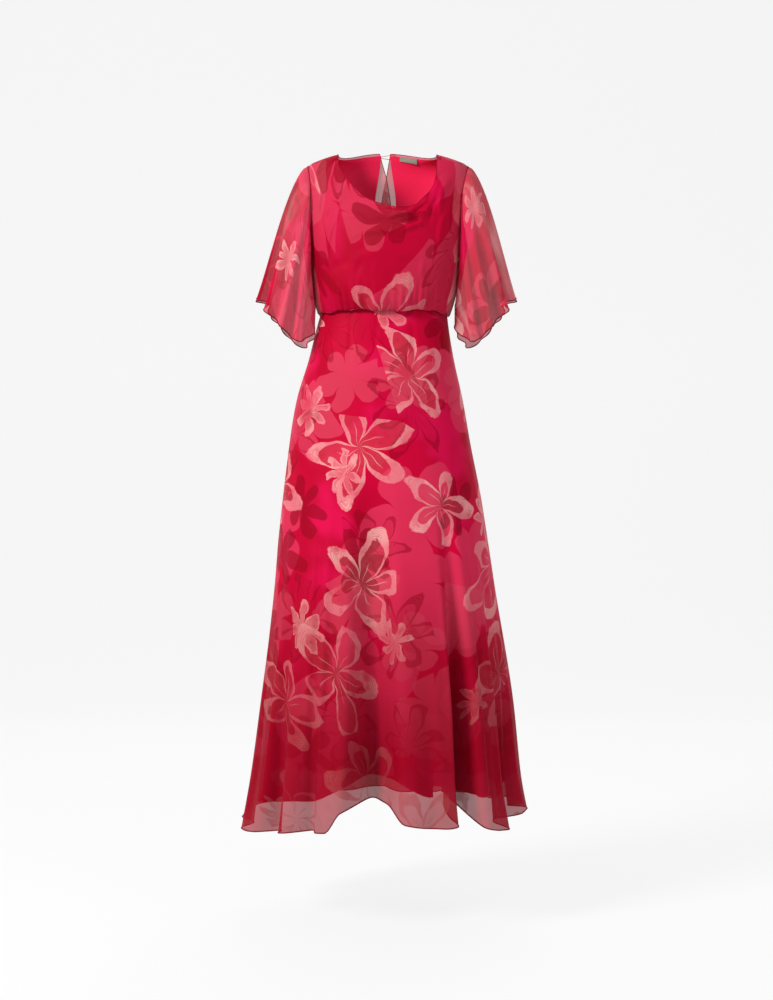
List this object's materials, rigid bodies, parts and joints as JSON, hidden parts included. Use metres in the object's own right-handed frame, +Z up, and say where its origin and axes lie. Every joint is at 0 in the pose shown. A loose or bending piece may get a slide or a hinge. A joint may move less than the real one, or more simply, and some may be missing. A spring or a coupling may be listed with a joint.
{
  "type": "maxi dress",
  "caption": "Floor-length chiffon dress with a floral print, bloused bodice, sheer flutter sleeves and an A-line lined skirt, worn form.",
  "frame": {"origin": "midway between the shoulder ends, level with them, where the wearer holds the dress up", "axes": "+Z up along the dress's length, -Y out of its front, +X to the wearer's left"},
  "size_m": [0.6055, 0.4813, 1.4495],
  "materials": {
    "chiffon_bodice_front": "printed chiffon",
    "chiffon_back_left": "printed chiffon",
    "chiffon_back_right": "printed chiffon",
    "lining_front": "plain soft satin",
    "lining_back_left": "plain soft satin",
    "lining_back_right": "plain soft satin",
    "chiffon_sleeve_right": "sheer printed chiffon",
    "chiffon_sleeve_left": "sheer printed chiffon",
    "chiffon_skirt_front": "printed chiffon",
    "chiffon_skirt_back": "printed chiffon",
    "lining_skirt_front": "plain soft satin",
    "lining_skirt_back": "plain soft satin",
    "label_tape": "woven tape",
    "button_resin": "satin",
    "loop_thread": "thread"
  },
  "bodies": {
    "root": {"bodice_front": "chiffon_bodice_front", "bodice_back_left": "chiffon_back_left", "bodice_back_right": "chiffon_back_right", "bodice_lining_front": "lining_front", "bodice_lining_back_left": "lining_back_left", "bodice_lining_back_right": "lining_back_right", "sleeve_right": "chiffon_sleeve_right", "sleeve_left": "chiffon_sleeve_left", "skirt_front": "chiffon_skirt_front", "skirt_back": "chiffon_skirt_back", "skirt_lining_front": "lining_skirt_front", "skirt_lining_back": "lining_skirt_back", "neck_label": "label_tape", "neck_button": "button_resin", "button_loop": "loop_thread"}
  },
  "joints": []
}
